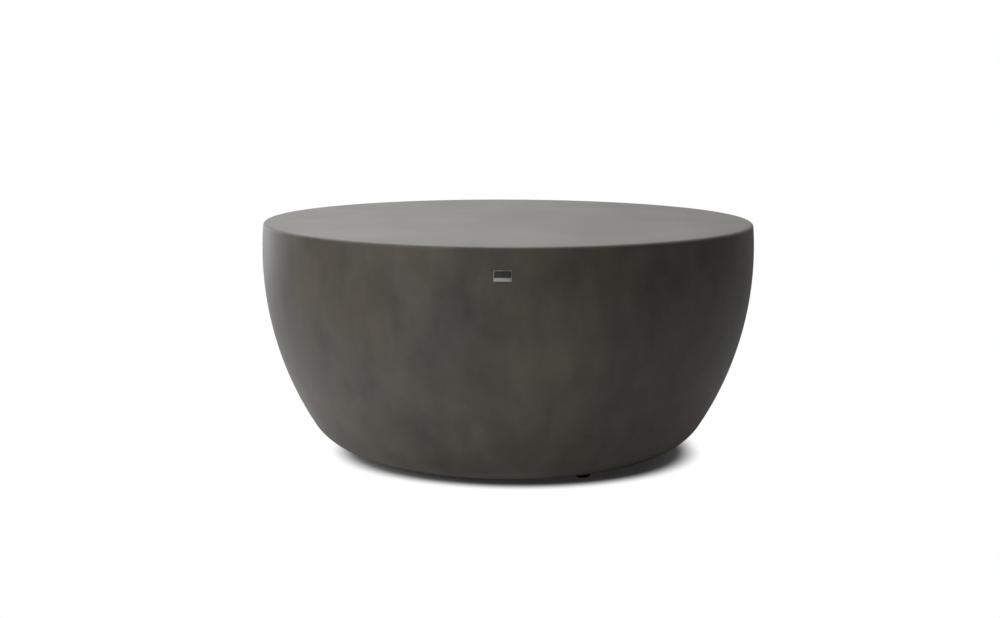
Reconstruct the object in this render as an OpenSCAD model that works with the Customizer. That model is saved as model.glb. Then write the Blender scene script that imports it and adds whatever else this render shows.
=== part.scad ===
// Round concrete coffee table: a hollow bowl-shaped casting with a closed flat top,
// a blank metal plate let into its wall and four screw-in levelling feet.
// Millimetres, +Z up. The origin is on the floor, on the table's axis.
// The plate's side is the front, towards -Y.

/* [Casting] */
// Diameter at the widest line of the side
table_d = 900; // [700:10:1200]
// Height from the floor to the top face
table_h = 420; // [400:5:500]
// Radius of the upright arc of the side
side_r = 590; // [500:10:800]
// Angle of the side arc below its widest line
side_sweep = 31; // [26:0.5:34]
// Radius of the arc from the side to the flat base
corner_r = 90; // [70:5:110]
// Radius of the eased edge round the top
edge_r = 6; // [2:0.5:12]
// Thickness of the wall and of the base ring
wall_t = 16; // [12:1:22]
// Thickness of the top
top_t = 20; // [14:1:30]
// Radius inside, from the top to the wall
inner_round_r = 30; // [15:1:45]
// Bore of the base ring, the mouth of the hollow
mouth_d = 420; // [300:10:440]
// Thickness of the lip that turns up round the mouth
lip_t = 14; // [10:1:18]
// Height of the lip above the base ring
lip_h = 22; // [12:1:40]
// Chamfer round the underside of the mouth
mouth_chamfer = 3; // [1:0.5:5]

/* [Ribs under the top] */
// Ribs from the hub to the wall
rib_count = 8; // [4:1:12]
// Thickness of a rib
rib_t = 14; // [8:1:20]
// Depth of the ribs below the top at the hub
rib_h = 36; // [20:1:60]
// Depth of the ribs below the top at the wall
rib_end_h = 20; // [12:1:40]
// Diameter of the hub where the ribs meet
hub_d = 110; // [80:5:180]

/* [Levelling feet] */
// Angle of the first foot from the front, towards the right
foot_turn = 29; // [0:1:60]
// Radius of the circle that the feet stand on
foot_ring_r = 276; // [260:1:280]
// Height of the base above the floor with the feet wound in
foot_gap = 12; // [10:0.5:18]
// Diameter of a foot's pad
pad_d = 27; // [24:0.5:34]
// Chamfer round the pad's edges
pad_chamfer = 1; // [0.4:0.1:1.5]
// Diameter of the sole under the pad
sole_d = 22; // [18:0.5:23]
// Thickness of the sole
sole_t = 2.5; // [1.8:0.1:3]
// How far the sole is let into the pad
sole_seat = 1.2; // [0.8:0.1:1.6]
// Floor of the pad between the sole and the stud's head
pad_floor = 2; // [1.2:0.1:2.4]
// How far the pad's lip reaches over the stud's head
lip_grip = 0.7; // [0.4:0.1:1]
// Major diameter of the stud's thread
stud_d = 8; // [6:1:10]
// Length of the stud above its head
stud_l = 36; // [28:1:42]
// Chamfer at the stud's end
stud_chamfer = 0.8; // [0.4:0.1:1.2]
// Diameter of the stud's head, held in the pad
head_d = 13; // [12:0.5:16]
// Thickness of the stud's head
head_t = 2.8; // [1.8:0.1:3]
// Width across the flats of the key socket in the stud's end
key_af = 4; // [3:0.5:4.5]
// Depth of the key socket
key_depth = 5; // [3:0.5:8]

/* [Threaded inserts] */
// Outside diameter of an insert
insert_d = 15; // [14:0.5:20]
// Length of an insert
insert_l = 28; // [24:1:34]
// Depth of the grooves that key an insert into the concrete
groove_depth = 0.8; // [0.4:0.1:1.2]
// Length of each groove
groove_l = 4; // [2:0.5:6]
// Grooves along an insert
groove_count = 3; // [2:1:3]
// Diameter of the round boss that holds an insert
boss_d = 48; // [36:1:56]
// Thickness of the web from a boss to the wall
web_t = 12; // [8:1:20]
// Height of that web above the boss
web_h = 34; // [20:1:50]

/* [Plate] */
// Width of the plate
plate_w = 28; // [20:1:60]
// Height of the plate
plate_h = 17; // [10:1:30]
// Thickness of the plate
plate_t = 1.5; // [0.8:0.1:3]
// Radius of the plate's corners
plate_corner_r = 1; // [0.5:0.1:3]
// Distance of the plate's centre below the top face
plate_drop = 44; // [24:1:90]
// How far the plate's face stands out of the wall
plate_proud = 0.4; // [0.2:0.1:0.8]
// Thickness of the adhesive tape behind the plate
tape_t = 0.8; // [0.4:0.1:1.5]
// Margin of the tape inside the plate's edge
tape_margin = 1.5; // [0.5:0.1:3]

/* [Clearances] */
// Radial clearance of the stud in the insert
thread_fit = 0.05; // [0.02:0.01:0.1]
// Radial clearance of the stud's head in the pad
head_fit = 0.1; // [0.05:0.01:0.2]
// Clearance above the stud's head
head_play = 0.2; // [0.1:0.05:0.3]
// Radial clearance of the sole in the pad
sole_fit = 0.1; // [0.05:0.05:0.3]
// Gap round the plate in its recess
plate_fit = 0.4; // [0.2:0.1:1]

/* [Hidden] */
$fn = 180;

// The outline of the casting: the centres of its arcs, as radius and height
base_z = foot_gap;
side_cx = table_d / 2 - side_r;
corner_cx = side_cx + (side_r - corner_r) * cos(side_sweep);
corner_cz = base_z + corner_r;
side_cz = corner_cz + (side_r - corner_r) * sin(side_sweep);
ceiling_z = table_h - top_t;
ring_z = base_z + wall_t;
mouth_r = mouth_d / 2;
bury = 2; // how far a rib or web runs into the wall that carries it

// The feet, from the front round by the right
FEET = ["front_right", "rear_right", "rear_left", "front_left"];
foot_step = 360 / len(FEET);
boss_top_z = base_z + insert_l;
pad_bottom_z = sole_t - sole_seat;
head_z = sole_t + pad_floor;
pocket_r = head_d / 2 + head_fit;
groove_pitch = insert_l / groove_count;

// The plate: its height, the slope of the wall there and the depth of its recess
plate_z = table_h - plate_drop;
plate_tilt = asin((plate_z - side_cz) / side_r);
plate_r = side_cx + side_r * cos(plate_tilt);
recess_depth = plate_t + tape_t - plate_proud;

concrete_grey = [0.36, 0.35, 0.33];
brushed_metal = [0.72, 0.71, 0.69];
zinc = [0.66, 0.67, 0.68];
brass = [0.72, 0.58, 0.30];
black_nylon = [0.05, 0.05, 0.05];
rubber_grey = [0.12, 0.12, 0.12];
tape_grey = [0.25, 0.25, 0.26];

// A slice of a disc between two angles, with its corner at the disc's centre
module pie(r, from, to) {
    far = 2 * r;
    intersection() {
        circle(r);
        polygon([[0, 0],
                 far * [cos(from), sin(from)],
                 far * [cos((from + to) / 2), sin((from + to) / 2)],
                 far * [cos(to), sin(to)]]);
    }
}

// Half the section of the bowl, solid to the axis and moved in from its outer face.
// Three arcs run into each other: the base corner, the side and the edge round the top.
module bowl_section(inset, top_z, round_r) {
    arc_r = side_r - inset;
    round_cz = top_z - round_r;
    round_cx = side_cx + sqrt(pow(arc_r - round_r, 2) - pow(round_cz - side_cz, 2));
    round_angle = atan2(round_cz - side_cz, round_cx - side_cx);
    join = [side_cx + arc_r * cos(side_sweep), side_cz - arc_r * sin(side_sweep)];
    tangent = [side_cx + arc_r * cos(round_angle), side_cz + arc_r * sin(round_angle)];
    intersection() {
        translate([side_cx, side_cz]) pie(arc_r, -side_sweep, round_angle);
        translate([0, join[1]]) square([table_d, tangent[1] - join[1]]);
    }
    translate([corner_cx, corner_cz]) pie(corner_r - inset, -90, -side_sweep);
    translate([round_cx, round_cz]) pie(round_r, round_angle, 90);
    polygon([[0, base_z + inset], [corner_cx, base_z + inset], [corner_cx, corner_cz], join,
             [corner_cx, side_cz], [round_cx, round_cz], [round_cx, top_z], [0, top_z]]);
}

// The hollow inside the wall, or with a bury the body that ribs and webs are trimmed to
module hollow(bury = 0) {
    rotate_extrude() bowl_section(wall_t - bury, ceiling_z + bury, inner_round_r);
}

// The casting without its ribs, bosses and holes: wall, top, base ring and lip
module shell_body() {
    rotate_extrude() {
        difference() {
            bowl_section(0, table_h, edge_r);
            bowl_section(wall_t, ceiling_z, inner_round_r);
            translate([0, base_z - bury]) square([mouth_r, wall_t + 2 * bury]);
            polygon([[mouth_r - bury, base_z - bury],
                     [mouth_r + mouth_chamfer + bury, base_z - bury],
                     [mouth_r - bury, base_z + mouth_chamfer + bury]]);
        }
        translate([mouth_r, ring_z - bury]) square([lip_t, lip_h - lip_t / 2 + bury]);
        translate([mouth_r + lip_t / 2, ring_z + lip_h - lip_t / 2]) circle(lip_t / 2);
    }
}

// A flat web in the plane of a radius, drawn as radius and height
module radial_web(thickness, points) {
    rotate([90, 0, 0]) translate([0, 0, -thickness / 2])
        linear_extrude(thickness) polygon(points);
}

// Ribs under the top, half of them above the feet, and the hub that they run into
module top_ribs() {
    intersection() {
        hollow(bury);
        union() {
            for (i = [0 : rib_count - 1]) rotate(foot_turn - 90 + i * 360 / rib_count)
                radial_web(rib_t, [[0, ceiling_z + bury], [0, ceiling_z - rib_h],
                                   [hub_d / 2, ceiling_z - rib_h],
                                   [table_d / 2, ceiling_z - rib_end_h],
                                   [table_d / 2, ceiling_z + bury]]);
            translate([0, 0, ceiling_z - rib_h]) cylinder(h = rib_h + bury, d = hub_d);
        }
    }
}

// Moves its children from the axis to a foot, with the wall towards +X
module at_foot(i) {
    rotate(foot_turn - 90 + i * foot_step) translate([foot_ring_r, 0, 0]) children();
}

// The boss round an insert and the web that ties it to the wall
module foot_boss() {
    translate([0, 0, ring_z - bury]) cylinder(h = boss_top_z - ring_z + bury, d = boss_d);
    translate([-foot_ring_r, 0, 0]) intersection() {
        hollow(bury);
        radial_web(web_t, [[foot_ring_r, ring_z - bury], [table_d / 2, ring_z - bury],
                           [table_d / 2, boss_top_z + web_h],
                           [corner_cx + corner_r - wall_t, boss_top_z + web_h],
                           [foot_ring_r + boss_d / 4, boss_top_z]]);
    }
}

// Half the outline of an insert: a plain sleeve with grooves that the concrete fills
module insert_outline() {
    difference() {
        translate([0, base_z]) square([insert_d / 2, insert_l]);
        for (i = [0 : groove_count - 1])
            translate([insert_d / 2 - groove_depth, base_z + (i + 0.5) * groove_pitch - groove_l / 2])
                square([insert_d, groove_l]);
    }
}

// A rectangle with round corners, about its centre
module round_rect(w, h, r) {
    square([w - 2 * r, h], center = true);
    square([w, h - 2 * r], center = true);
    for (x = [-1, 1]) for (y = [-1, 1]) translate([x * (w / 2 - r), y * (h / 2 - r)]) circle(r);
}

// Moves its children onto the wall at the front, with +Z out of it and +Y up it
module at_plate() {
    translate([0, -plate_r, plate_z]) rotate([90 - plate_tilt, 0, 0]) children();
}

module concrete_shell() {
    color(concrete_grey) difference() {
        union() {
            shell_body();
            top_ribs();
            for (i = [0 : len(FEET) - 1]) at_foot(i) foot_boss();
        }
        for (i = [0 : len(FEET) - 1]) at_foot(i) rotate_extrude() insert_outline();
        at_plate() translate([0, 0, -recess_depth]) linear_extrude(2 * recess_depth)
            round_rect(plate_w + 2 * plate_fit, plate_h + 2 * plate_fit, plate_corner_r + plate_fit);
    }
}

module name_plate() {
    color(brushed_metal) at_plate() translate([0, 0, plate_proud - plate_t])
        linear_extrude(plate_t) round_rect(plate_w, plate_h, plate_corner_r);
}

module plate_tape() {
    color(tape_grey) at_plate() translate([0, 0, -recess_depth]) linear_extrude(tape_t)
        square([plate_w - 2 * tape_margin, plate_h - 2 * tape_margin], center = true);
}

module insert() {
    color(brass) rotate_extrude() difference() {
        insert_outline();
        translate([0, base_z - bury]) square([stud_d / 2 + thread_fit, insert_l + 2 * bury]);
    }
}

// The stud turns in the pad by its flat head and screws into the insert
module stud() {
    end_z = head_z + head_t + stud_l;
    color(zinc) difference() {
        union() {
            translate([0, 0, head_z]) cylinder(h = head_t, d = head_d);
            translate([0, 0, head_z]) cylinder(h = head_t + stud_l - stud_chamfer, d = stud_d);
            translate([0, 0, end_z - stud_chamfer])
                cylinder(h = stud_chamfer, d1 = stud_d, d2 = stud_d - 2 * stud_chamfer);
        }
        translate([0, 0, end_z - key_depth])
            cylinder(h = key_depth + bury, d = key_af / cos(30), $fn = 6);
    }
}

// The pad clips over the stud's head and touches the base when the foot is wound in
module pad() {
    pad_r = pad_d / 2;
    color(black_nylon) rotate_extrude() difference() {
        polygon([[0, pad_bottom_z], [pad_r - pad_chamfer, pad_bottom_z],
                 [pad_r, pad_bottom_z + pad_chamfer], [pad_r, base_z - pad_chamfer],
                 [pad_r - pad_chamfer, base_z], [0, base_z]]);
        square([sole_d / 2 + sole_fit, sole_t]);
        translate([0, head_z]) square([pocket_r, head_t + head_play]);
        translate([0, head_z]) square([pocket_r - lip_grip, table_h]);
    }
}

module sole() {
    color(rubber_grey) cylinder(h = sole_t, d = sole_d);
}

concrete_shell();
name_plate();
plate_tape();
for (i = [0 : len(FEET) - 1]) {
    at_foot(i) insert();
    at_foot(i) stud();
    at_foot(i) pad();
    at_foot(i) sole();
}
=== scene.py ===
"""Looks of a round concrete coffee table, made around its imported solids.

The casting is turned from its own outline, with its ribs, bosses and recess worked in.
A blank brushed plate sits in the wall, and four screw-in feet stand under the base.
Sizes are in metres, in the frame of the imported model: +Z up, the plate's side towards -Y.
"""

import logging
import math
from collections.abc import Callable, Sequence
from dataclasses import dataclass
from enum import Enum

import bpy
from mathutils import Matrix, Vector


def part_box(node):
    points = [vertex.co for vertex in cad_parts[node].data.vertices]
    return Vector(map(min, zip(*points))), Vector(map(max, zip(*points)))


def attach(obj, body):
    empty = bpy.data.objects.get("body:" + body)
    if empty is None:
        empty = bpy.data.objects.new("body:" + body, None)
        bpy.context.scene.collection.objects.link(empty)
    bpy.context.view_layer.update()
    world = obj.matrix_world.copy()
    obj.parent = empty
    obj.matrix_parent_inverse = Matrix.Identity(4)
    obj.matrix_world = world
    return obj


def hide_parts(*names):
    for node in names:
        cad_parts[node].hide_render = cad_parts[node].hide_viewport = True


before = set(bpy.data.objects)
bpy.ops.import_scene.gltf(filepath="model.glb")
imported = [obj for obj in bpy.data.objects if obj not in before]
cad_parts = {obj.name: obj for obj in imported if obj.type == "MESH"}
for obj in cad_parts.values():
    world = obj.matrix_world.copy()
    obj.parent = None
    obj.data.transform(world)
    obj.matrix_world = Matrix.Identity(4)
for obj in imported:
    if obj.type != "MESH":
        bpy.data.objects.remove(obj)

log = logging.getLogger("coffee_table")

MM = 0.001
WELD = 0.002 * MM
FINE_WELD = 0.0001 * MM
NEAR = 0.01 * MM
EASE_SHARE = 0.45
FEET = ("front_right", "rear_right", "rear_left", "front_left")
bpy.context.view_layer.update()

Piece = bpy.types.Object
Point = tuple[float, float]
Place = tuple[float, float, float]
Colour = tuple[float, float, float]
Ink = tuple[float, float, float, float]
Values = dict[str | int, object]

DUST: Colour = (0.22, 0.21, 0.19)
COOL_WHITE: Colour = (0.965, 1.0, 1.03)


class Wire:
    """A shader value that takes part in arithmetic; each operator adds its Math node."""

    def __init__(self, graph: "Graph", socket: bpy.types.NodeSocket) -> None:
        """Wraps an output socket of a node in graph."""
        self.graph = graph
        self.socket = socket

    def _math(self, operation: str, first: "Wire | float", second: "Wire | float") -> "Wire":
        """Adds a Math node and returns its result."""
        return self.graph.node("ShaderNodeMath", {"operation": operation}, {0: first, 1: second})

    def __add__(self, other: "Wire | float") -> "Wire":
        """Adds other."""
        return self._math("ADD", self, other)

    def __radd__(self, other: float) -> "Wire":
        """Adds to other."""
        return self._math("ADD", other, self)

    def __sub__(self, other: "Wire | float") -> "Wire":
        """Takes other away."""
        return self._math("SUBTRACT", self, other)

    def __rsub__(self, other: float) -> "Wire":
        """Is taken away from other."""
        return self._math("SUBTRACT", other, self)

    def __mul__(self, other: "Wire | float") -> "Wire":
        """Multiplies by other."""
        return self._math("MULTIPLY", self, other)

    def at_least(self, floor: float) -> "Wire":
        """The larger of this value and floor."""
        return self._math("MAXIMUM", self, floor)

    def at_most(self, ceiling: float) -> "Wire":
        """The smaller of this value and ceiling."""
        return self._math("MINIMUM", self, ceiling)

    def below(self, limit: "Wire | float") -> "Wire":
        """One where this value is under limit, else zero."""
        return self._math("LESS_THAN", self, limit)

    def ramp(self, start: float, end: float) -> "Wire":
        """A smooth step from zero to one.

        Args:
            start: The value at which it leaves zero.
            end: The value at which it reaches one.

        Returns:
            The step's level.
        """
        settings = {"interpolation_type": "SMOOTHSTEP"}
        sockets = {"Value": self, "From Min": start, "From Max": end}
        return self.graph.node("ShaderNodeMapRange", settings, sockets)


class Graph:
    """The node tree of one material or of the world."""

    def __init__(self, owner: bpy.types.Material | bpy.types.World) -> None:
        """Starts an empty tree.

        Args:
            owner: The material or world that the tree belongs to.
        """
        owner.use_nodes = True
        self.tree = owner.node_tree
        self.tree.nodes.clear()

    def node(self, kind: str, settings: Values | None = None, sockets: Values | None = None,
             output: str | int = 0) -> Wire:
        """Adds a node.

        Args:
            kind: The node's type.
            settings: Properties of the node, set before its sockets.
            sockets: Input sockets by name or number, each with a value or a wire.
            output: The output socket to return.

        Returns:
            The node's output, as a wire.
        """
        made = self.tree.nodes.new(kind)
        for name, value in (settings or {}).items():
            setattr(made, name, value)
        for name, value in (sockets or {}).items():
            if isinstance(value, Wire):
                self.tree.links.new(value.socket, made.inputs[name])
            else:
                made.inputs[name].default_value = value
        if not made.outputs:
            return Wire(self, None)
        return Wire(self, made.outputs[output])

    def object_coordinates(self) -> Wire:
        """Where a point lies on its own piece, in metres."""
        return self.node("ShaderNodeTexCoord", output="Object")

    def coordinate(self, vector: Wire, axis: str) -> Wire:
        """One coordinate of a vector."""
        return self.node("ShaderNodeSeparateXYZ", {}, {"Vector": vector}, axis)

    def measure(self, operation: str, *vectors: "Wire | Place") -> Wire:
        """A single value that is worked out from vectors, such as a length."""
        return self.node("ShaderNodeVectorMath", {"operation": operation}, dict(enumerate(vectors)), "Value")

    def stretch(self, vector: Wire, scale: Place) -> Wire:
        """Scales a pattern's coordinates by axis."""
        return self.node("ShaderNodeMapping", {}, {"Vector": vector, "Scale": scale})

    def noise(self, vector: Wire, size: float, detail: float = 2.0, rough: float = 0.5) -> Wire:
        """Noise from zero to one: patches of a size in metres, with finer layers on them."""
        sockets = {"Vector": vector, "Scale": 1 / size, "Detail": detail, "Roughness": rough}
        return self.node("ShaderNodeTexNoise", {}, sockets)

    def mix(self, factor: Wire | float, low: object, high: object) -> Wire:
        """A colour between low and high."""
        return self.node("ShaderNodeMix", {"data_type": "RGBA"}, {0: factor, 6: low, 7: high}, 2)

    def bump(self, height: Wire, depth: float, normal: Wire | None = None) -> Wire:
        """Bends a normal by a height.

        Args:
            height: The height, from zero to one.
            depth: How high one stands, in metres.
            normal: The normal to bend, if it isn't the surface's own.

        Returns:
            The bent normal.
        """
        sockets = {"Height": height, "Distance": depth, "Strength": 1.0}
        if normal is not None:
            sockets["Normal"] = normal
        return self.node("ShaderNodeBump", {}, sockets)

    def surface(self, shader: Wire) -> None:
        """Makes a shader the tree's surface.

        Args:
            shader: The shader of the material or the world.
        """
        kind = "ShaderNodeOutputMaterial"
        if isinstance(self.tree.id_data, bpy.types.World):
            kind = "ShaderNodeOutputWorld"
        self.node(kind, {}, {"Surface": shader})


def opaque(colour: Colour) -> Ink:
    """A colour with full alpha."""
    return (*colour, 1.0)


def grey(level: float) -> Ink:
    """An even grey of a level, white at one."""
    return (level, level, level, 1.0)


def shade(colour: Colour, share: float) -> Ink:
    """A colour made lighter or darker by a share of itself."""
    return opaque(tuple(level * share for level in colour))


@dataclass(frozen=True)
class Finish:
    """What every finish has in common: a name, and a material made once."""

    name: str

    def dress(self, graph: Graph) -> Values:
        """Builds what the shader's sockets get; each finish has its own."""
        raise NotImplementedError

    def material(self) -> bpy.types.Material:
        """Makes the finish's material on first use.

        Returns:
            The material, which all pieces with this finish share.
        """
        found = bpy.data.materials.get(self.name)
        if found is None:
            found = bpy.data.materials.new(self.name)
            graph = Graph(found)
            graph.surface(graph.node("ShaderNodeBsdfPrincipled", {}, self.dress(graph)))
        return found


@dataclass(frozen=True)
class CastConcrete(Finish):
    """Smooth sealed concrete from the mould: soft clouds, fine grain and a few pinholes."""

    colour: Colour = (0.0975, 0.0836, 0.0640)
    roughness: float = 0.52
    gloss_level: float = 0.5
    tones: Point = (0.5, 1.5)
    drawn_out: Place = (1, 1, 0.6)
    cloud: float = 0.50
    cloud_size: float = 0.16
    patch: float = 0.50
    patch_size: float = 0.045
    patch_polish: float = 0.16
    hue: float = 0.06
    hue_size: float = 0.075
    hue_lean: float = 0.2
    hue_edge: Point = (0.3, 0.7)
    grain: float = 0.10
    grain_size: float = 0.0035
    grain_depth: float = 0.05 * MM
    skin_size: float = 0.0011
    swell_size: float = 0.06
    swell_depth: float = 0.4 * MM
    pinhole_cell: float = 0.022
    pinhole_radius: float = 0.0009
    pinhole_share: float = 0.16
    pinhole_small: float = 0.2
    pinhole_edge: Point = (-0.3, 0.15)
    pinhole_rough: float = 0.3
    # painted shade in the pinholes: the share of the colour that they are darkened to
    pinhole_painted_shade: float = 0.3
    pinhole_cover: float = 0.75
    pinhole_depth: float = 0.5 * MM

    def dress(self, graph: Graph) -> Values:
        """Builds the concrete's pattern.

        Args:
            graph: The tree to build in.

        Returns:
            What each of the shader's sockets gets.
        """
        place = graph.object_coordinates()
        upright = graph.stretch(place, self.drawn_out)
        cloud = graph.noise(upright, self.cloud_size, 3.0, 0.55)
        patch = graph.noise(upright, self.patch_size, 4.0, 0.6)
        grain = graph.noise(place, self.grain_size, 3.0, 0.65)
        skin = graph.noise(place, self.skin_size, 2.0, 0.6)
        swell = graph.noise(place, self.swell_size, 2.0, 0.4)
        holes = self._pinholes(graph, place)
        level = 0.5 + (cloud - 0.5) * self.cloud * 2 + (patch - 0.5) * self.patch * 2
        level = level + (grain - 0.5) * self.grain * 2
        warmth = graph.noise(upright, self.hue_size, 3.0, 0.55).ramp(*self.hue_edge)
        cold, warm = self._tint(-1), self._tint(1)
        low, high = [graph.mix(warmth, shade(cold, share), shade(warm, share)) for share in self.tones]
        tone = graph.mix(level, low, high)
        # the pinholes are darkened: painted shade in the pits
        tone = graph.mix(holes * self.pinhole_cover, tone, shade(self.colour, self.pinhole_painted_shade))
        normal = graph.bump(swell, self.swell_depth)
        normal = graph.bump(grain * 0.7 + skin * 0.3, self.grain_depth, normal)
        normal = graph.bump(1 - holes, self.pinhole_depth, normal)
        rough = self.roughness + (patch - 0.5) * self.patch_polish + (grain - 0.5) * self.grain
        rough = rough + holes * self.pinhole_rough
        gloss = self.gloss_level
        return {"Base Color": tone, "Roughness": rough, "Normal": normal, "Specular IOR Level": gloss}

    def _tint(self, warmth: int) -> Colour:
        """Moves the colour towards brown or grey.

        Args:
            warmth: 1 towards brown, -1 towards grey.

        Returns:
            The colour.
        """
        red, green, blue = self.colour
        change = self.hue * warmth
        lean = self.hue_lean * change
        return (red * (1 + lean), green * (1 - lean), blue * (1 - change))

    def _pinholes(self, graph: Graph, place: Wire) -> Wire:
        """Small round holes that air leaves at the mould.

        Args:
            graph: The tree to build in.
            place: Where a point lies.

        Returns:
            One inside a hole, else zero.
        """
        sockets = {"Vector": place, "Scale": 1 / self.pinhole_cell}
        distance = graph.node("ShaderNodeTexVoronoi", {}, sockets, "Distance")
        pick = graph.node("ShaderNodeTexVoronoi", {}, sockets, "Color")
        red = graph.node("ShaderNodeSeparateColor", {}, {"Color": pick}, "Red")
        green = graph.node("ShaderNodeSeparateColor", {}, {"Color": pick}, "Green")
        reach = self.pinhole_radius / self.pinhole_cell
        small = self.pinhole_small
        edge = distance - (green * (1 - small) + small) * reach
        inner, outer = self.pinhole_edge
        inside = 1 - edge.ramp(inner * reach, outer * reach)
        return inside * red.below(self.pinhole_share)


@dataclass(frozen=True)
class FibreConcrete(Finish):
    """The raw inside of the casting: rolled glass-fibre concrete, pale, lumpy and stranded."""

    colour: Colour = (0.19, 0.18, 0.165)
    roughness: float = 0.88
    gloss_level: float = 0.3
    tones: Point = (0.72, 1.28)
    cloud_size: float = 0.11
    lump_size: float = 0.018
    lump_depth: float = 1.6 * MM
    strand_size: float = 0.02
    strand_depth: float = 0.35 * MM
    strand_edge: Point = (0.58, 0.64)
    strand_runs: tuple[Place, Place] = ((1, 6, 6), (6, 1, 4))
    strand_cover: float = 0.35
    strand_shade: float = 1.9

    def dress(self, graph: Graph) -> Values:
        """Builds the raw concrete's pattern.

        Args:
            graph: The tree to build in.

        Returns:
            What each of the shader's sockets gets.
        """
        place = graph.object_coordinates()
        lumps = graph.noise(place, self.lump_size, 4.0, 0.6)
        clouds = graph.noise(place, self.cloud_size, 3.0, 0.5)
        threads = 0.0
        for run in self.strand_runs:
            strand = graph.noise(graph.stretch(place, run), self.strand_size, 3.0, 0.7)
            threads = strand.ramp(*self.strand_edge) * 0.5 + threads
        level = 0.5 + (clouds - 0.5) * 0.8 + (lumps - 0.5) * 0.5
        tone = graph.mix(level, *[shade(self.colour, share) for share in self.tones])
        tone = graph.mix(threads * self.strand_cover, tone, shade(self.colour, self.strand_shade))
        normal = graph.bump(lumps, self.lump_depth)
        normal = graph.bump(threads, self.strand_depth, normal)
        rough = self.roughness - threads * 0.2
        gloss = self.gloss_level
        return {"Base Color": tone, "Roughness": rough, "Normal": normal, "Specular IOR Level": gloss}


class Grain(Enum):
    """Which way a metal's brush marks or turning marks run."""

    ALONG_X = (1.0, 90.0, 90.0)
    ROUND_Z = (1.0, 1.0, 40.0)


@dataclass(frozen=True)
class WorkedMetal(Finish):
    """Bare or plated metal with fine marks from brushing, turning or rolling."""

    colour: Colour
    grain: Grain
    mark_size: float = 0.012
    mark_depth: float = 0.012 * MM
    roughness: float = 0.34
    contrast: float = 0.12
    mark_rough: float = 0.18
    smudge_size: float = 0.009
    smudge_rough: float = 0.12
    tarnish: float = 0.0
    tarnish_edge: Point = (0.45, 0.75)
    tarnish_rough: float = 0.25
    tarnish_shade: float = 0.45

    def dress(self, graph: Graph) -> Values:
        """Builds the metal's pattern.

        Args:
            graph: The tree to build in.

        Returns:
            What each of the shader's sockets gets.
        """
        place = graph.object_coordinates()
        marks = graph.noise(graph.stretch(place, self.grain.value), self.mark_size, 5.0, 0.7)
        smudge = graph.noise(place, self.smudge_size, 3.0, 0.6)
        level = 0.5 + (marks - 0.5) * 1.2
        tone = graph.mix(level, shade(self.colour, 1 - self.contrast), shade(self.colour, 1 + self.contrast))
        dull = smudge.ramp(*self.tarnish_edge) * self.tarnish
        tone = graph.mix(dull, tone, shade(self.colour, self.tarnish_shade))
        rough = self.roughness + (marks - 0.5) * self.mark_rough + (smudge - 0.5) * self.smudge_rough
        rough = rough + dull * self.tarnish_rough
        return {"Base Color": tone, "Metallic": 1 - dull * 0.5, "Roughness": rough,
                "Normal": graph.bump(marks, self.mark_depth)}


@dataclass(frozen=True)
class PaintedFieldMetal(WorkedMetal):
    """Worked metal with a plain dark field on the upper part of its face: a painted dark reflection, laid
    where the plate's lettering lies.

    The field's edges are heights and distances across, in the frame of the table.
    """

    # the painted dark field on the plate's upper face: its colour and roughness, a painted dark reflection
    # where the lettering lies
    painted_field: Colour = (0.060, 0.058, 0.054)
    painted_field_roughness: float = 0.35
    across: Point = (-0.0134, 0.0134)
    upward: Point = (0.3728, 0.3838)
    soft: float = 0.0006

    def dress(self, graph: Graph) -> Values:
        """Builds the metal's pattern, with the painted dark colour inside the field.

        Args:
            graph: The tree to build in.

        Returns:
            What each of the shader's sockets gets.
        """
        sockets = super().dress(graph)
        place = graph.object_coordinates()
        inside = 1.0
        for axis, (start, end) in (("X", self.across), ("Z", self.upward)):
            value = graph.coordinate(place, axis)
            inside = value.ramp(start, start + self.soft) * (1 - value.ramp(end - self.soft, end)) * inside
        # inside the field the metal turns dark: a painted dark reflection over the upper face, with the
        # lettering in it
        sockets["Base Color"] = graph.mix(inside, sockets["Base Color"], opaque(self.painted_field))
        sockets["Metallic"] = sockets["Metallic"] * (1 - inside)
        sockets["Roughness"] = sockets["Roughness"] * (1 - inside) + inside * self.painted_field_roughness
        return sockets


@dataclass(frozen=True)
class MouldedPolymer(Finish):
    """Moulded nylon, rubber or foam: a fine pebbled skin, dust and light scuffs."""

    colour: Colour
    pebble_size: float = 0.0008
    pebble_depth: float = 0.03 * MM
    scuff_size: float = 0.006
    scuff_edge: Point = (0.5, 0.8)
    scuff_rough: float = 0.2
    roughness: float = 0.45
    dust: float = 0.10

    def dress(self, graph: Graph) -> Values:
        """Builds the polymer's pattern.

        Args:
            graph: The tree to build in.

        Returns:
            What each of the shader's sockets gets.
        """
        place = graph.object_coordinates()
        pebbles = graph.noise(place, self.pebble_size, 2.0, 0.5)
        scuffs = graph.noise(graph.stretch(place, (1, 1, 5)), self.scuff_size, 4.0, 0.7)
        scuffs = scuffs.ramp(*self.scuff_edge)
        tone = graph.mix(pebbles, shade(self.colour, 0.8), shade(self.colour, 1.2))
        tone = graph.mix(scuffs * self.dust, tone, opaque(DUST))
        rough = self.roughness + scuffs * self.scuff_rough
        return {"Base Color": tone, "Roughness": rough, "Normal": graph.bump(pebbles, self.pebble_depth)}


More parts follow.
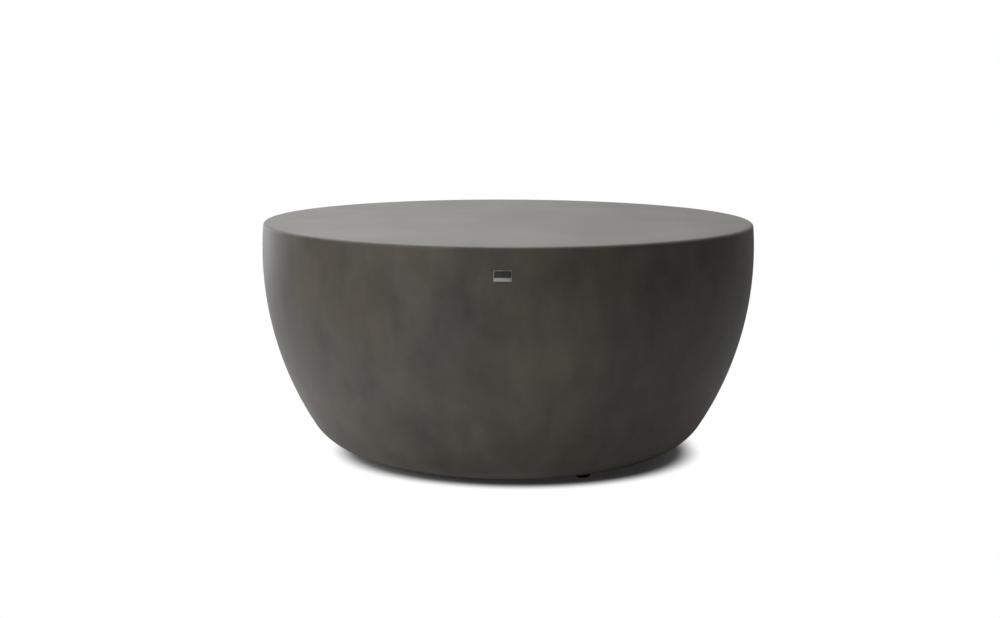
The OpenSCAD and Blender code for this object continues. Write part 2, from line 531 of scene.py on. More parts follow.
CONCRETE = CastConcrete("sealed_concrete")
RAW_INSIDE = FibreConcrete("fibre_concrete")
PLATE_STEEL = PaintedFieldMetal("brushed_plate_steel", (0.60, 0.585, 0.56), Grain.ALONG_X, roughness=0.42)
STUD_ZINC = WorkedMetal("zinc_plated_steel", (0.56, 0.57, 0.58), Grain.ROUND_Z, tarnish=0.35)
INSERT_BRASS = WorkedMetal("turned_brass", (0.62, 0.46, 0.21), Grain.ROUND_Z, tarnish=0.5)
PAD_NYLON = MouldedPolymer("black_nylon", (0.012, 0.012, 0.012))
SOLE_RUBBER = MouldedPolymer("sole_rubber", (0.030, 0.029, 0.028), roughness=0.8, dust=0.3)
TAPE_FOAM = MouldedPolymer("foam_tape", (0.045, 0.045, 0.046), pebble_depth=0.08 * MM, roughness=0.9)


def arc(centre: Point, radius: float, start: float, end: float, steps: int) -> list[Point]:
    """Points along an arc, from start to end in degrees from outwards, positive upwards."""
    angles = [math.radians(start + (end - start) * i / steps) for i in range(steps + 1)]
    return [(centre[0] + radius * math.cos(a), centre[1] + radius * math.sin(a)) for a in angles]


def eased(corners: Sequence[Point], radius: float, steps: int = 3) -> list[Point]:
    """An outline whose inner corners are rounded.

    Args:
        corners: The outline's corners; the first and last stay as they are.
        radius: The rounding's radius, less where an edge is too short for it.
        steps: How many chords each rounding has.

    Returns:
        The rounded outline.
    """
    made = [corners[0]]
    for before, here, after in zip(corners, corners[1:], corners[2:]):
        a, b, c = (Vector((*p, 0)) for p in (before, here, after))
        back, on = (a - b).normalized(), (c - b).normalized()
        half = back.angle(on) / 2
        run = min(radius / math.tan(half), EASE_SHARE * (a - b).length, EASE_SHARE * (c - b).length)
        first, last = b + back * run, b + on * run
        for i in range(steps + 1):
            t = i / steps
            point = first.lerp(b, t).lerp(b.lerp(last, t), t)
            made.append((point.x, point.y))
    made.append(corners[-1])
    return made


class Bench:
    """Work with Blender's operators on one mesh at a time, as it is done by hand."""

    @staticmethod
    def clear() -> None:
        """Leaves edit mode and deselects everything."""
        if bpy.context.object is not None and bpy.context.object.mode != "OBJECT":
            bpy.ops.object.mode_set(mode="OBJECT")
        bpy.ops.object.select_all(action="DESELECT")

    @staticmethod
    def hold(piece: Piece) -> None:
        """Makes a piece the only selected object and the active one.

        Args:
            piece: The piece to work on.
        """
        Bench.clear()
        piece.select_set(True)
        bpy.context.view_layer.objects.active = piece

    @staticmethod
    def open(piece: Piece) -> None:
        """Opens a piece in edit mode, with all its points selected.

        Args:
            piece: The piece to open.
        """
        Bench.hold(piece)
        bpy.ops.object.mode_set(mode="EDIT")
        bpy.ops.mesh.select_mode(type="VERT")
        bpy.ops.mesh.select_all(action="SELECT")

    @staticmethod
    def close() -> None:
        """Turns the faces of the open mesh outwards and leaves edit mode."""
        bpy.ops.mesh.select_all(action="SELECT")
        bpy.ops.mesh.normals_make_consistent(inside=False)
        bpy.ops.object.mode_set(mode="OBJECT")

    @staticmethod
    def take(name: str) -> Piece:
        """Names the object that an operator has just made.

        Args:
            name: The name for the object and its mesh.

        Returns:
            The object.
        """
        piece = bpy.context.object
        piece.name = name
        piece.data.name = name
        return piece

    @staticmethod
    def line(name: str, points: Sequence[Point]) -> Piece:
        """Draws a chain of edges in the plane of X and Z.

        Args:
            name: The new object's name.
            points: The chain's points, as X and Z.

        Returns:
            The object, left in edit mode with its whole chain selected.
        """
        Bench.clear()
        start = (points[0][0], 0, points[0][1])
        bpy.ops.mesh.primitive_plane_add(size=MM, location=(0, 0, 0))
        piece = Bench.take(name)
        bpy.ops.object.mode_set(mode="EDIT")
        bpy.ops.mesh.select_mode(type="VERT")
        bpy.ops.mesh.select_all(action="SELECT")
        bpy.ops.mesh.merge(type="CENTER")
        bpy.ops.transform.translate(value=start)
        for (x0, z0), (x1, z1) in zip(points, points[1:]):
            step = {"value": (x1 - x0, 0, z1 - z0)}
            bpy.ops.mesh.extrude_region_move(TRANSFORM_OT_translate=step)
        bpy.ops.mesh.select_all(action="SELECT")
        return piece

    @staticmethod
    def lathe(name: str, outline: Sequence[Point], steps: int) -> Piece:
        """Turns an outline round the Z axis into a closed mesh.

        Args:
            name: The new object's name.
            outline: Radius and height; both ends lie on the axis, or the last point repeats the first.
            steps: How many faces go round.

        Returns:
            The turned piece, in object mode.
        """
        piece = Bench.line(name, outline)
        bpy.ops.mesh.spin(steps=steps, angle=math.tau, center=(0, 0, 0), axis=(0, 0, 1))
        bpy.ops.mesh.select_all(action="SELECT")
        bpy.ops.mesh.remove_doubles(threshold=WELD)
        Bench.close()
        return piece

    @staticmethod
    def slab(name: str, outline: Sequence[Point], thickness: float) -> Piece:
        """Draws a closed outline in X and Z and gives it a thickness along Y, about the middle.

        Args:
            name: The new object's name.
            outline: The outline's corners.
            thickness: How thick the slab is.

        Returns:
            The slab, in object mode.
        """
        piece = Bench.line(name, outline)
        bpy.ops.mesh.edge_face_add()
        bpy.ops.mesh.select_all(action="SELECT")
        step = {"value": (0, thickness, 0)}
        bpy.ops.mesh.extrude_region_move(TRANSFORM_OT_translate=step)
        bpy.ops.mesh.select_all(action="SELECT")
        bpy.ops.transform.translate(value=(0, -thickness / 2, 0))
        Bench.close()
        return piece

    @staticmethod
    def bevel(piece: Piece, test: Callable[[list[Vector]], bool], offset: float, segments: int) -> None:
        """Rounds the edges whose own end points pass a test.

        Args:
            piece: The piece to round.
            test: Tells from an edge's ends whether it is rounded.
            offset: How far the rounding reaches from the edge.
            segments: How many faces it has.
        """
        Bench.open(piece)
        bpy.ops.mesh.select_mode(type="EDGE")
        bpy.ops.mesh.select_all(action="DESELECT")
        bpy.ops.object.mode_set(mode="OBJECT")
        for edge in piece.data.edges:
            edge.select = test([piece.data.vertices[v].co for v in edge.vertices])
        bpy.ops.object.mode_set(mode="EDIT")
        bpy.ops.mesh.bevel(offset=offset, segments=segments, affect="EDGES")
        bpy.ops.object.mode_set(mode="OBJECT")

    @staticmethod
    def apply(piece: Piece, kind: str, **settings: object) -> None:
        """Adds a modifier, sets it and applies it.

        Args:
            piece: The piece that it changes.
            kind: The modifier's type.
            **settings: The modifier's properties.
        """
        Bench.hold(piece)
        modifier = piece.modifiers.new(kind.lower(), kind)
        for name, value in settings.items():
            setattr(modifier, name, value)
        bpy.ops.object.modifier_apply(modifier=modifier.name)

    @staticmethod
    def work_in(piece: Piece, tool: Piece, operation: str) -> None:
        """Joins tool to piece, or cuts it away, and removes tool."""
        Bench.apply(piece, "BOOLEAN", object=tool, operation=operation, solver="EXACT")
        bpy.data.objects.remove(tool)

    @staticmethod
    def mend(piece: Piece) -> None:
        """Merges a mesh's near points and removes the slivers that a cut leaves.

        Args:
            piece: The piece to mend.
        """
        Bench.open(piece)
        bpy.ops.mesh.remove_doubles(threshold=WELD)
        bpy.ops.mesh.dissolve_degenerate(threshold=WELD)
        Bench.close()

    @staticmethod
    def copy(model: Piece, name: str) -> Piece:
        """Copies a piece, with a mesh of its own.

        Args:
            model: The piece to copy.
            name: The copy's name.

        Returns:
            The copy.
        """
        Bench.hold(model)
        bpy.ops.object.duplicate(linked=False)
        return Bench.take(name)

    @staticmethod
    def place(piece: Piece, matrix: Matrix) -> None:
        """Moves a piece's mesh, with its object left at the origin."""
        piece.data.transform(matrix)
        piece.data.update()

    @staticmethod
    def smooth(piece: Piece, degrees: float = 30.0) -> None:
        """Shades a piece smooth, with its corners over an angle left sharp."""
        Bench.hold(piece)
        bpy.ops.object.shade_smooth_by_angle(angle=math.radians(degrees))


def outfit(piece: Piece, finish: Finish) -> None:
    """Gives a piece its finish.

    Args:
        piece: The piece to dress.
        finish: Its finish.
    """
    piece.data.materials.clear()
    piece.data.materials.append(finish.material())


def stand_for(piece: Piece, node: str, body: str) -> None:
    """Puts a piece in the place of a CAD node.

    Args:
        piece: The piece that is shown.
        node: The CAD node that it replaces.
        body: The body that it moves with.
    """
    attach(piece, body)
    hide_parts(node)
    log.info("%s stands for %s, %d faces", piece.name, node, len(piece.data.polygons))


@dataclass
class Bowl:
    """The casting's form: an edge, a side and a corner outside, and side and corner again inside the wall."""

    radius: float
    height: float
    base: float
    side_radius: float = 0.590
    side_sweep: float = 31.0
    corner_radius: float = 0.090
    edge_radius: float = 0.006
    wall: float = 0.016
    top: float = 0.020
    inner_round: float = 0.030

    @property
    def side_centre(self) -> Point:
        """The centre of the upright arc."""
        rise = (self.side_radius - self.corner_radius) * math.sin(math.radians(self.side_sweep))
        return (self.radius - self.side_radius, self.base + self.corner_radius + rise)

    @property
    def corner_centre(self) -> Point:
        """The centre of the arc from the side to the base."""
        run = (self.side_radius - self.corner_radius) * math.cos(math.radians(self.side_sweep))
        return (self.side_centre[0] + run, self.base + self.corner_radius)

    @property
    def ceiling(self) -> float:
        """The height of the top's underside."""
        return self.height - self.top

    def flank(self, inset: float, top: float, rounding: float, steps: int) -> list[Point]:
        """The line from the top's flat down the side to the base's flat.

        Args:
            inset: How far the line lies inside the outer face.
            top: The height of the flat that it starts from.
            rounding: The radius between that flat and the side.
            steps: Chords of the side's arc; the other arcs have shares of it.

        Returns:
            Radius and height of each point, from the top down.
        """
        reach = self.side_radius - inset
        cx, cz = self.side_centre
        rise = top - rounding - cz
        eye = (cx + math.sqrt((reach - rounding) ** 2 - rise**2), top - rounding)
        meet = math.degrees(math.atan2(eye[1] - cz, eye[0] - cx))
        edge = arc(eye, rounding, 90, meet, max(6, steps // 8))
        side = arc((cx, cz), reach, meet, -self.side_sweep, steps)
        corner = arc(self.corner_centre, self.corner_radius - inset, -self.side_sweep, -90, steps // 2)
        return edge + side[1:] + corner[1:]


@dataclass
class Insert:
    """The brass sleeve that is cast into the base over each foot; its bore is left without a thread."""

    base: float
    radius: float = 0.0075
    length: float = 0.028
    bore: float = 0.00405
    grooves: int = 3
    groove: float = 0.0008
    groove_length: float = 0.004
    countersink: float = 0.0006

    @property
    def top(self) -> float:
        """The height of its upper end."""
        return self.base + self.length

    def flank(self, over: float) -> list[Point]:
        """Its outer line with the grooves, from the bottom up.

        Args:
            over: How far the line runs past both ends.

        Returns:
            Radius and height of each point.
        """
        line = [(self.radius, self.base - over)]
        for i in range(self.grooves):
            middle = self.base + (i + 0.5) * self.length / self.grooves
            low, high = middle - self.groove_length / 2, middle + self.groove_length / 2
            line += [(self.radius, low), (self.radius - self.groove, low),
                     (self.radius - self.groove, high), (self.radius, high)]
        return line + [(self.radius, self.top + over)]

    def hole(self, over: float) -> Piece:
        """The space that it takes in the concrete, as a tool."""
        line = self.flank(over)
        return Bench.lathe("insert_hole", [(0, line[0][1]), *line, (0, line[-1][1])], steps=48)

    def build(self) -> Piece:
        """Models the sleeve, countersunk at both ends.

        Returns:
            The sleeve, on the table's axis.
        """
        wide = self.bore + self.countersink
        ring = [(wide, self.base), *self.flank(0), (wide, self.top), (self.bore, self.top - self.countersink),
                (self.bore, self.base + self.countersink), (wide, self.base)]
        return Bench.lathe("insert", ring, steps=48)


@dataclass
class Casting:
    """The concrete casting: bowl, lip round the mouth, ribs, bosses, webs and recess."""

    bowl: Bowl
    insert: Insert
    foot_angles: list[float]
    foot_ring: float = 0.276
    mouth: float = 0.210
    mouth_chamfer: float = 0.003
    lip: float = 0.014
    lip_height: float = 0.022
    lip_foot: float = 0.004
    lip_foot_waist: float = 0.0012
    flat_step: float = 0.1
    base_step: float = 0.03
    rib_count: int = 8
    rib: float = 0.014
    rib_depth: float = 0.036
    rib_end_depth: float = 0.020
    rib_root: float = 0.55
    rib_sink: float = 0.6
    hub: float = 0.055
    hub_round: float = 0.004
    boss: float = 0.024
    boss_round: float = 0.002
    web: float = 0.012
    web_rise: float = 0.034
    web_foot: float = -80.0
    raw_from: float = 0.6
    bury: float = 0.002
    shy: float = 0.0003
    steps: int = 288

    @property
    def ring_top(self) -> float:
        """The height of the base ring's upper face."""
        return self.bowl.base + self.bowl.wall

    def outline(self) -> list[Point]:
        """Half the section of the casting.

        Returns:
            Radius and height of each point, from the axis on the top round to the axis inside.
        """
        bowl = self.bowl
        outside = bowl.flank(0, bowl.height, bowl.edge_radius, steps=56)
        inside = bowl.flank(bowl.wall, bowl.ceiling, bowl.inner_round, steps=40)
        flat = [(ring * self.flat_step, bowl.height) for ring in range(5)]
        ceiling = [(ring * self.flat_step, bowl.ceiling) for ring in range(4, -1, -1)]
        lip_eye = (self.mouth + self.lip / 2, self.ring_top + self.lip_height - self.lip / 2)
        mouth = [(self.mouth + self.base_step, bowl.base), (self.mouth + self.mouth_chamfer, bowl.base)]
        mouth += [(self.mouth, bowl.base + self.mouth_chamfer)]
        mouth += arc(lip_eye, self.lip / 2, 180, 0, steps=8)
        radius, height = self.mouth + self.lip, self.ring_top
        waist = self.lip_foot_waist
        mouth += [(radius, height + self.lip_foot), (radius + waist, height + waist)]
        mouth += [(radius + self.lip_foot, height)]
        return flat + outside + mouth + inside[::-1] + ceiling

    def build(self) -> None:
        """Turns the casting, works its details in and sets it on the table's body."""
        piece = Bench.lathe("concrete_casting", self.outline(), self.steps)
        Bench.work_in(piece, self._inner_work(), "UNION")
        for angle in self.foot_angles:
            hole = self.insert.hole(self.bury)
            Bench.place(hole, self._foot_matrix(angle))
            Bench.work_in(piece, hole, "DIFFERENCE")
        Bench.work_in(piece, PlateSeat.of(self.bowl).cutter(), "DIFFERENCE")
        Bench.mend(piece)
        Bench.smooth(piece, degrees=32)
        outfit(piece, CONCRETE)
        piece.data.materials.append(RAW_INSIDE.material())
        self._split_finish(piece)
        stand_for(piece, "concrete_shell", "table")

    def _foot_matrix(self, angle: float) -> Matrix:
        """Moves a piece from the axis to a foot."""
        return Matrix.Rotation(math.radians(angle), 4, "Z") @ Matrix.Translation((self.foot_ring, 0, 0))

    def _inner_work(self) -> Piece:
        """Models the ribs, hub, bosses and webs as one closed body.

        Returns:
            The body, which reaches a little into the casting.
        """
        bowl = self.bowl
        top, bottom = bowl.ceiling + self.bury, bowl.ceiling - self.rib_depth
        disc = eased([(0, top), (self.hub, top), (self.hub, bottom), (0, bottom)], self.hub_round)
        hub = Bench.lathe("rib_hub", disc, steps=96)
        start, end = self.hub * self.rib_root, bowl.radius - bowl.wall * self.rib_sink
        crown, foot = top - self.shy, bottom + self.shy
        rib = [(start, crown), (start, foot), (self.hub, foot)]
        rib += [(end, bowl.ceiling - self.rib_end_depth), (end, crown)]
        for i in range(self.rib_count):
            turn = math.radians(self.foot_angles[0]) + math.tau * i / self.rib_count
            arm = Bench.slab("rib_arm", rib, self.rib)
            Bench.place(arm, Matrix.Rotation(turn, 4, "Z"))
            Bench.work_in(hub, arm, "UNION")
        for angle in self.foot_angles:
            Bench.work_in(hub, self._boss(angle), "UNION")
        return hub

    def _boss(self, angle: float) -> Piece:
        """Models the boss round one insert, with the web that ties it to the wall.

        Args:
            angle: The foot's angle round the axis, in degrees.

        Returns:
            The boss with its web.
        """
        bowl = self.bowl
        low, high = self.ring_top - self.bury, self.insert.top
        post = eased([(0, high), (self.boss, high), (self.boss, low), (0, low)], self.boss_round)
        boss = Bench.lathe("foot_boss", post, steps=64)
        Bench.place(boss, Matrix.Translation((self.foot_ring, 0, 0)))
        cx, cz = bowl.corner_centre
        middle = bowl.corner_radius - bowl.wall / 2
        rise = high + self.web_rise
        last = math.degrees(math.asin((rise - cz) / middle))
        buried = arc((cx, cz), middle, self.web_foot, last, steps=10)
        web = [(self.foot_ring, low)] + buried + [(cx + bowl.corner_radius - bowl.wall, rise),
                                                 (self.foot_ring + self.boss / 2, high - self.shy)]
        Bench.work_in(boss, Bench.slab("foot_web", web, self.web), "UNION")
        Bench.place(boss, Matrix.Rotation(math.radians(angle), 4, "Z"))
        return boss

    def _split_finish(self, piece: Piece) -> None:
        """Gives the faces inside the hollow the raw finish.

        Args:
            piece: The casting, with the raw finish as its second material.
        """
        bowl = self.bowl
        reach = bowl.side_radius - bowl.wall / 2
        low = bowl.corner_radius - bowl.wall / 2
        (sx, sz), (cx, cz) = bowl.side_centre, bowl.corner_centre
        for face in piece.data.polygons:
            r, z = Vector(face.center[:2]).length, face.center.z
            under_top = z < bowl.height - bowl.top / 2
            in_side = math.hypot(r - sx, z - sz) < reach
            in_corner = z > cz or r < cx or math.hypot(r - cx, z - cz) < low
            above_ring = z > bowl.base + bowl.wall * self.raw_from
            if under_top and in_side and in_corner and above_ring:
                face.material_index = 1


@dataclass
class PlateSeat:
    """Where the plate is let into the wall, and how deep."""

    matrix: Matrix
    width: float = 0.028
    height: float = 0.017
    thickness: float = 0.0015
    corner: float = 0.001
    proud: float = 0.0004
    tape: float = 0.0008
    gap: float = 0.0004
    height_up: float = 0.376

    @classmethod
    def of(cls, bowl: Bowl) -> "PlateSeat":
        """Finds the seat on a bowl's wall, with +Z out of the wall and +Y up it.

        Args:
            bowl: The casting's form.

        Returns:
            The seat.
        """
        sx, sz = bowl.side_centre
        tilt = math.asin((cls.height_up - sz) / bowl.side_radius)
        radius = sx + bowl.side_radius * math.cos(tilt)
        turn = Matrix.Rotation(math.pi / 2 - tilt, 4, "X")
        return cls(Matrix.Translation((0, -radius, cls.height_up)) @ turn)

    @property
    def depth(self) -> float:
        """How deep the recess is."""
        return self.thickness + self.tape - self.proud

    def block(self, name: str, grow: float, low: float, high: float) -> Piece:
        """A flat block with round corners, in the seat's own frame.

        Args:
            name: The new object's name.
            grow: How far it reaches past the plate's edge.
            low: The height of its back face.
            high: The height of its front face.

        Returns:
            The block, in object mode.
        """
        Bench.clear()
        bpy.ops.mesh.primitive_cube_add(size=1, location=(0, 0, (low + high) / 2))
        piece = Bench.take(name)
        bpy.ops.object.mode_set(mode="EDIT")
        size = (self.width + 2 * grow, self.height + 2 * grow, high - low)
        bpy.ops.transform.resize(value=size, center_override=(0, 0, (low + high) / 2))
        bpy.ops.object.mode_set(mode="OBJECT")
        Bench.place(piece, Matrix.Translation(piece.location))
        piece.location = (0, 0, 0)
        Bench.bevel(piece, lambda ends: abs(ends[0].z - ends[1].z) > NEAR, self.corner + grow, segments=6)
        return piece

    def cutter(self) -> Piece:
        """Models the tool that cuts the recess.

        Returns:
            The tool, at its place in the wall.
        """
        piece = self.block("recess_tool", self.gap, -self.depth, self.depth)
        Bench.place(piece, self.matrix)
        return piece


@dataclass
class Plate:
    """The blank metal plate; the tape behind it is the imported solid."""

    seat: PlateSeat
    edge: float = 0.00022

    def build(self) -> None:
        """Makes the plate with softened edges, in its recess."""
        seat = self.seat
        front = seat.proud - NEAR
        piece = seat.block("blank_plate", 0, seat.proud - seat.thickness, seat.proud)
        Bench.bevel(piece, lambda ends: all(end.z > front for end in ends), self.edge, segments=3)
        Bench.place(piece, seat.matrix)
        Bench.smooth(piece, degrees=35)
        outfit(piece, PLATE_STEEL)
        stand_for(piece, "name_plate", "table")


@dataclass
class LevellingFoot:
    """The screw-in foot: threaded stud, nylon pad and rubber sole, in its brass insert."""

    insert: Insert
    pad: float = 0.0135
    sole: float = 0.011
    sole_thickness: float = 0.0025
    sole_seat: float = 0.0012
    pad_floor: float = 0.0020
    stud: float = 0.004
    pitch: float = 0.00125
    head: float = 0.0065
    head_thickness: float = 0.0028
    stud_length: float = 0.036
    lip_grip: float = 0.0007
    play: float = 0.0002
    fit: float = 0.0001
    key: float = 0.002
    key_depth: float = 0.005
    core_depth: float = 0.62
    ridge_depth: float = 0.72
    ridge_crest: Point = (0.36, 0.50)
    ridge_width: float = 0.86
    ridge_shy: float = 0.00001
    thread_ends: Point = (0.0004, 0.0005)
    metal_round: float = 0.0003
    pad_round: float = 0.001
    sole_round: float = 0.0004

    @property
    def head_bottom(self) -> float:
        """The height of the pad's inner floor, where the stud's head stands."""
        return self.sole_thickness + self.pad_floor

    def build(self, spots: dict[str, Vector]) -> None:
        """Models each piece once and sets a copy of it at every foot.

        Args:
            spots: The middle of each foot, by its place's name.
        """
        jobs = (
            (self.insert.build, "insert", "table", INSERT_BRASS, "insert_brass"),
            (self._stud, "stud", "{}_screw", STUD_ZINC, "zinc_steel"),
            (self._pad, "pad", "{}_foot", PAD_NYLON, "black_nylon"),
            (self._sole, "sole", "{}_foot", SOLE_RUBBER, "sole_rubber"),
        )
        for make, kind, body, finish, slot in jobs:
            model = make()
            Bench.smooth(model, degrees=35)
            for place, spot in spots.items():
                piece = Bench.copy(model, f"{place}_foot_{kind}")
                Bench.place(piece, Matrix.Translation((spot.x, spot.y, 0)))
                outfit(piece, finish)
                stand_for(piece, f"{place}_{kind}", body.format(place))
            bpy.data.objects.remove(model)

    def _stud(self) -> Piece:
        """Models the stud: a flat head below, a threaded shank and a key socket in its end.

        Returns:
            The stud, on the table's axis.
        """
        top = self.head_bottom + self.head_thickness + self.stud_length
        core = self.stud - self.core_depth * self.pitch
        neck = self.head_bottom + self.head_thickness
        bare_below, bare_above = self.thread_ends
        body = [(0, self.head_bottom), (self.head, self.head_bottom), (self.head, neck), (core, neck),
                (core, top), (0, top)]
        piece = Bench.lathe("stud", eased(body, self.metal_round), steps=48)
        Bench.work_in(piece, self._thread(neck + bare_below, top - bare_above), "UNION")
        Bench.clear()
        bpy.ops.mesh.primitive_cylinder_add(vertices=6, radius=self.key / math.cos(math.pi / 6),
                                            depth=2 * self.key_depth, location=(0, 0, top))
        socket = Bench.take("key_socket")
        Bench.place(socket, Matrix.Translation(socket.location))
        socket.location = (0, 0, 0)
        Bench.work_in(piece, socket, "DIFFERENCE")
        Bench.mend(piece)
        return piece

    def _thread(self, low: float, high: float) -> Piece:
        """A ridge wound round the shank at the thread's pitch, closed at both ends.

        Args:
            low: Where it starts.
            high: The height that it stays under.

        Returns:
            The ridge, in object mode.
        """
        p = self.pitch
        root, crest = self.stud - self.ridge_depth * p, self.stud - self.ridge_shy
        first, last = self.ridge_crest
        ridge = [(root, 0), (crest, first * p), (crest, last * p), (root, self.ridge_width * p)]
        piece = Bench.line("thread", ridge)
        bpy.ops.mesh.edge_face_add()
        bpy.ops.object.mode_set(mode="OBJECT")
        Bench.place(piece, Matrix.Translation((0, 0, low)))
        turns = int((high - low) / p - 1)
        Bench.apply(piece, "SCREW", angle=math.tau, screw_offset=p, iterations=turns,
                    steps=24, render_steps=24, use_normal_calculate=True,
                    use_merge_vertices=True, merge_threshold=FINE_WELD)
        Bench.open(piece)
        bpy.ops.mesh.remove_doubles(threshold=FINE_WELD)
        bpy.ops.mesh.fill_holes(sides=4)
        Bench.close()
        return piece

    def _pad(self) -> Piece:
        """Models the nylon pad that clips over the stud's head.

        Returns:
            The pad, on the table's axis.
        """
        low, high = self.sole_thickness - self.sole_seat, self.insert.base
        seat, pocket = self.sole + self.fit, self.head + self.fit
        throat = pocket - self.lip_grip
        floor = self.head_bottom
        lip = floor + self.head_thickness + self.play
        rim = eased([(seat, low), (self.pad, low), (self.pad, high), (throat, high)], self.pad_round, 4)
        ring = [(0, self.sole_thickness), (seat, self.sole_thickness), *rim,
                (throat, lip), (pocket, lip), (pocket, floor), (0, floor)]
        return Bench.lathe("pad", ring, steps=72)

    def _sole(self) -> Piece:
        """Models the rubber sole, with a softened rim."""
        ring = [(0, 0), (self.sole, 0), (self.sole, self.sole_thickness), (0, self.sole_thickness)]
        return Bench.lathe("sole", eased(ring, self.sole_round), steps=64)


@dataclass(frozen=True)
class Backdrop:
    """A soft bright patch in the room: where it lies, the cosines of its edge and core, its level."""

    aim: Place
    edge: float
    core: float
    level: float


@dataclass(frozen=True)
class Lamp:
    """A square area lamp: where it hangs, the length of its sides, its power in watts and its tint."""

    name: str
    spot: Place
    size: float
    power: float
    tint: Colour = (1.0, 1.0, 1.0)

    def hang(self, target: Place) -> None:
        """Adds the lamp to the scene.

        Args:
            target: What it faces.
        """
        data = bpy.data.lights.new(self.name, "AREA")
        data.size = self.size
        data.energy = self.power
        data.color = self.tint
        lamp = bpy.data.objects.new(self.name, data)
        bpy.context.scene.collection.objects.link(lamp)
        spot = Vector(self.spot)
        aim = (spot - Vector(target)).to_track_quat("Z", "Y").to_matrix().to_4x4()
        lamp.matrix_world = Matrix.Translation(spot) @ aim


BACKDROPS = (
    Backdrop((0.0, 0.7, 0.71), 0.3, 0.8, 0.65),
    Backdrop((-0.15, 0.97, 0.2), 0.78, 0.97, 0.30),
    Backdrop((-0.5, 0.84, 0.2), 0.78, 0.97, 0.33),
)
LAMPS = (
    Lamp("overhead", (-0.5, 0.43, 2.4), 2.4, 56.8, COOL_WHITE),
    Lamp("key", (-1.6, -2.2, 1.5), 1.2, 22.8),
    Lamp("left_back", (-1.9, 1.6, 0.5), 1.0, 9.3, COOL_WHITE),
)


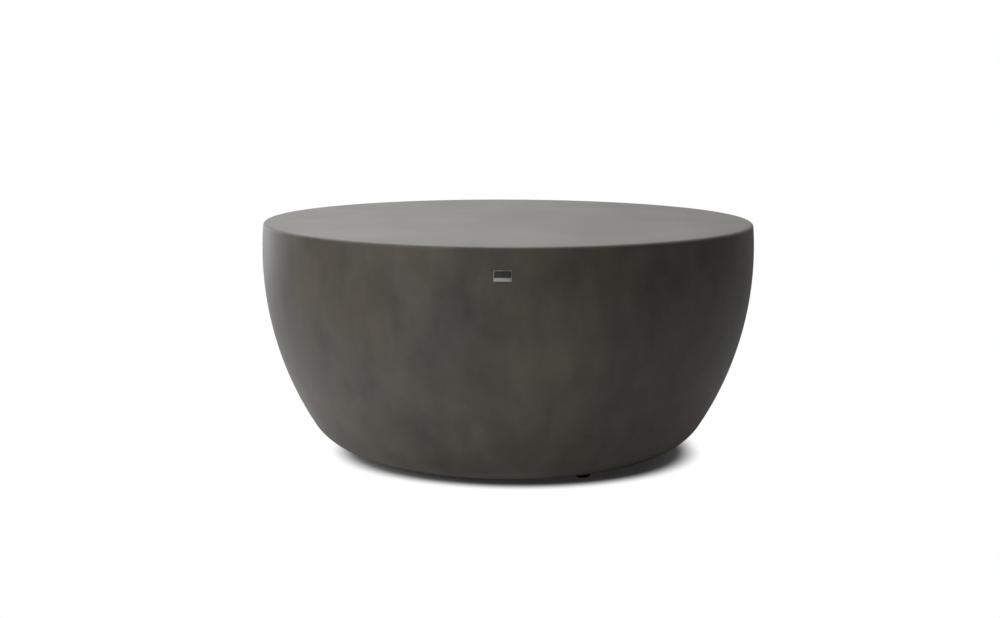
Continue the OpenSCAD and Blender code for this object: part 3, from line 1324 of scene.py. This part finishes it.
@dataclass
class Studio:
    """The floor, the lamps, the world and the camera, as the photograph has them."""

    camera_distance: float = 2.2981
    camera_height: float = 0.6391
    camera_turn: float = 0.98
    camera_pitch: float = -9.625
    camera_yaw: float = 0.359
    camera_roll: float = 0.182
    lens: float = 44.60
    sensor: float = 36.0
    lamp_target: Place = (0.0, 0.0, 0.2)
    floor_size: float = 30.0
    # the floor's grey for light and gloss rays is lighter at the left than at the right: a painted light
    # falloff
    floor_left: float = 0.7
    floor_right: float = 0.4
    floor_blend: Point = (-0.7, 0.7)
    # the painted shadow round the base: its middle, its reach in front and behind, the edge of its fade and
    # its darkest level
    shadow_centre: Point = (0.016, -0.070)
    shadow_reach: Point = (0.74, 1.25)
    shadow_edge: Point = (0.296, 0.349)
    shadow_level: float = 0.02
    cast_edge: Point = (0.30, 0.36)
    cast_grey: float = 0.8
    bounce: Point = (0.23, 0.112)
    bounce_blend: Point = (-0.3, 0.3)
    bounce_end: Point = (0.5, 0.9)
    sheen: float = 0.1
    sheen_start: Point = (0.8, 2.0)

    def build(self) -> None:
        """Sets up the room round the table."""
        bpy.context.scene.view_settings.view_transform = "Standard"
        self._camera()
        self._floor()
        self._world()
        for lamp in LAMPS:
            lamp.hang(self.lamp_target)

    def _camera(self) -> None:
        """Puts the camera at the photograph's viewing angle."""
        turn = math.radians(self.camera_turn)
        data = bpy.data.cameras.new("camera")
        data.lens = self.lens
        data.sensor_width = self.sensor
        camera = bpy.data.objects.new("camera", data)
        bpy.context.scene.collection.objects.link(camera)
        out = self.camera_distance
        spot = Vector((out * math.sin(turn), -out * math.cos(turn), self.camera_height))
        aim = Matrix.Rotation(turn + math.radians(self.camera_yaw), 4, "Z")
        aim = aim @ Matrix.Rotation(math.radians(90 + self.camera_pitch), 4, "X")
        aim = aim @ Matrix.Rotation(math.radians(self.camera_roll), 4, "Z")
        camera.matrix_world = Matrix.Translation(spot) @ aim
        bpy.context.scene.camera = camera

    def _floor(self) -> None:
        """A pale floor that the eye sees as white, apart from a painted shadow round the base, laid over the
        table's own shadow on the floor's grey near it.
        """
        Bench.clear()
        bpy.ops.mesh.primitive_plane_add(size=self.floor_size, location=(0, 0, 0))
        floor = Bench.take("floor")
        material = bpy.data.materials.new("pale_floor")
        graph = Graph(material)
        sight, gloss, through = self._rays(graph)
        place = graph.object_coordinates()
        across, along = graph.coordinate(place, "X"), graph.coordinate(place, "Y")
        # painted light falloff: the grey that lamps and gloss see runs from light at the left to dark at the
        # right
        falloff_grey = graph.mix(across.ramp(*self.floor_blend), grey(self.floor_left), grey(self.floor_right))
        apart = self._apart(graph, across, along)
        seen = graph.mix(apart.ramp(*self.cast_edge), grey(self.cast_grey), grey(0.0))
        matt = graph.node("ShaderNodeBsdfDiffuse", {}, {"Color": graph.mix(sight, falloff_grey, seen)})
        # painted shadow: the eye's glow drops to the shadow level inside an egg round the base and rises to
        # white outside it
        clear_of_painted_shadow = apart.ramp(*self.shadow_edge)
        eye = sight * (self.shadow_level + clear_of_painted_shadow * (1 - self.shadow_level))
        left, right = self.bounce
        bounce = left + across.ramp(*self.bounce_blend) * (right - left)
        near = clear_of_painted_shadow * (1 - graph.measure("LENGTH", place).ramp(*self.bounce_end)) * bounce
        far = along.ramp(*self.sheen_start) * self.sheen
        strength = (eye + (gloss + through) * far + (1 - sight) * near).at_most(1.0)
        glow = graph.node("ShaderNodeEmission", {}, {"Color": grey(1.0), "Strength": strength})
        graph.surface(graph.node("ShaderNodeAddShader", {}, {0: matt, 1: glow}))
        floor.data.materials.append(material)

    def _apart(self, graph: Graph, across: Wire, along: Wire) -> Wire:
        """How far a place on the floor is from the painted shadow's middle, in an egg that is short in front.

        Args:
            graph: The floor's tree.
            across: The place's distance to the right of the axis.
            along: Its distance behind the axis.

        Returns:
            The distance, stretched in front of the middle and shortened behind it.
        """
        middle_x, middle_y = self.shadow_centre
        front, rear = self.shadow_reach
        ahead = along - middle_y
        drawn = ahead.at_most(0) * (1 / front) + ahead.at_least(0) * (1 / rear)
        egg = graph.node("ShaderNodeCombineXYZ", {}, {"X": across - middle_x, "Y": drawn})
        return graph.measure("LENGTH", egg)

    def _world(self) -> None:
        """White for the eye; for light and gloss, a bright backdrop behind and above a dim room."""
        world = bpy.data.worlds.new("studio")
        bpy.context.scene.world = world
        graph = Graph(world)
        sight, _, through = self._rays(graph)
        seen = (sight + through).at_most(1.0)
        way = graph.node("ShaderNodeTexCoord", output="Generated")
        glow = 0.0
        for patch in BACKDROPS:
            facing = graph.measure("DOT_PRODUCT", way, patch.aim)
            glow = facing.ramp(patch.edge, patch.core) * patch.level + glow
        colour = graph.mix(seen, opaque(COOL_WHITE), grey(1.0))
        strength = seen + (1 - seen) * glow
        graph.surface(graph.node("ShaderNodeBackground", {}, {"Color": colour, "Strength": strength}))

    @staticmethod
    def _rays(graph: Graph) -> tuple[Wire, Wire, Wire]:
        """Tells the rays of the eye, of gloss and of clear materials apart."""
        kinds = ("Is Camera Ray", "Is Glossy Ray", "Is Transmission Ray")
        return tuple(graph.node("ShaderNodeLightPath", output=kind) for kind in kinds)


def main() -> None:
    """Builds the table round its frame, then the studio."""
    logging.basicConfig(level=logging.INFO, format="%(message)s")
    low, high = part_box("concrete_shell")
    bowl = Bowl(radius=(high.x - low.x) / 2, height=high.z, base=low.z)
    insert = Insert(bowl.base)
    spots = {}
    for place in FEET:
        corner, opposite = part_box(f"{place}_sole")
        spots[place] = (corner + opposite) / 2
    angles = [math.degrees(math.atan2(spot.y, spot.x)) for spot in spots.values()]
    Studio().build()
    Casting(bowl, insert, angles).build()
    Plate(PlateSeat.of(bowl)).build()
    LevellingFoot(insert).build(spots)
    outfit(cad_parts["plate_tape"], TAPE_FOAM)


if __name__ == "__main__":
    main()
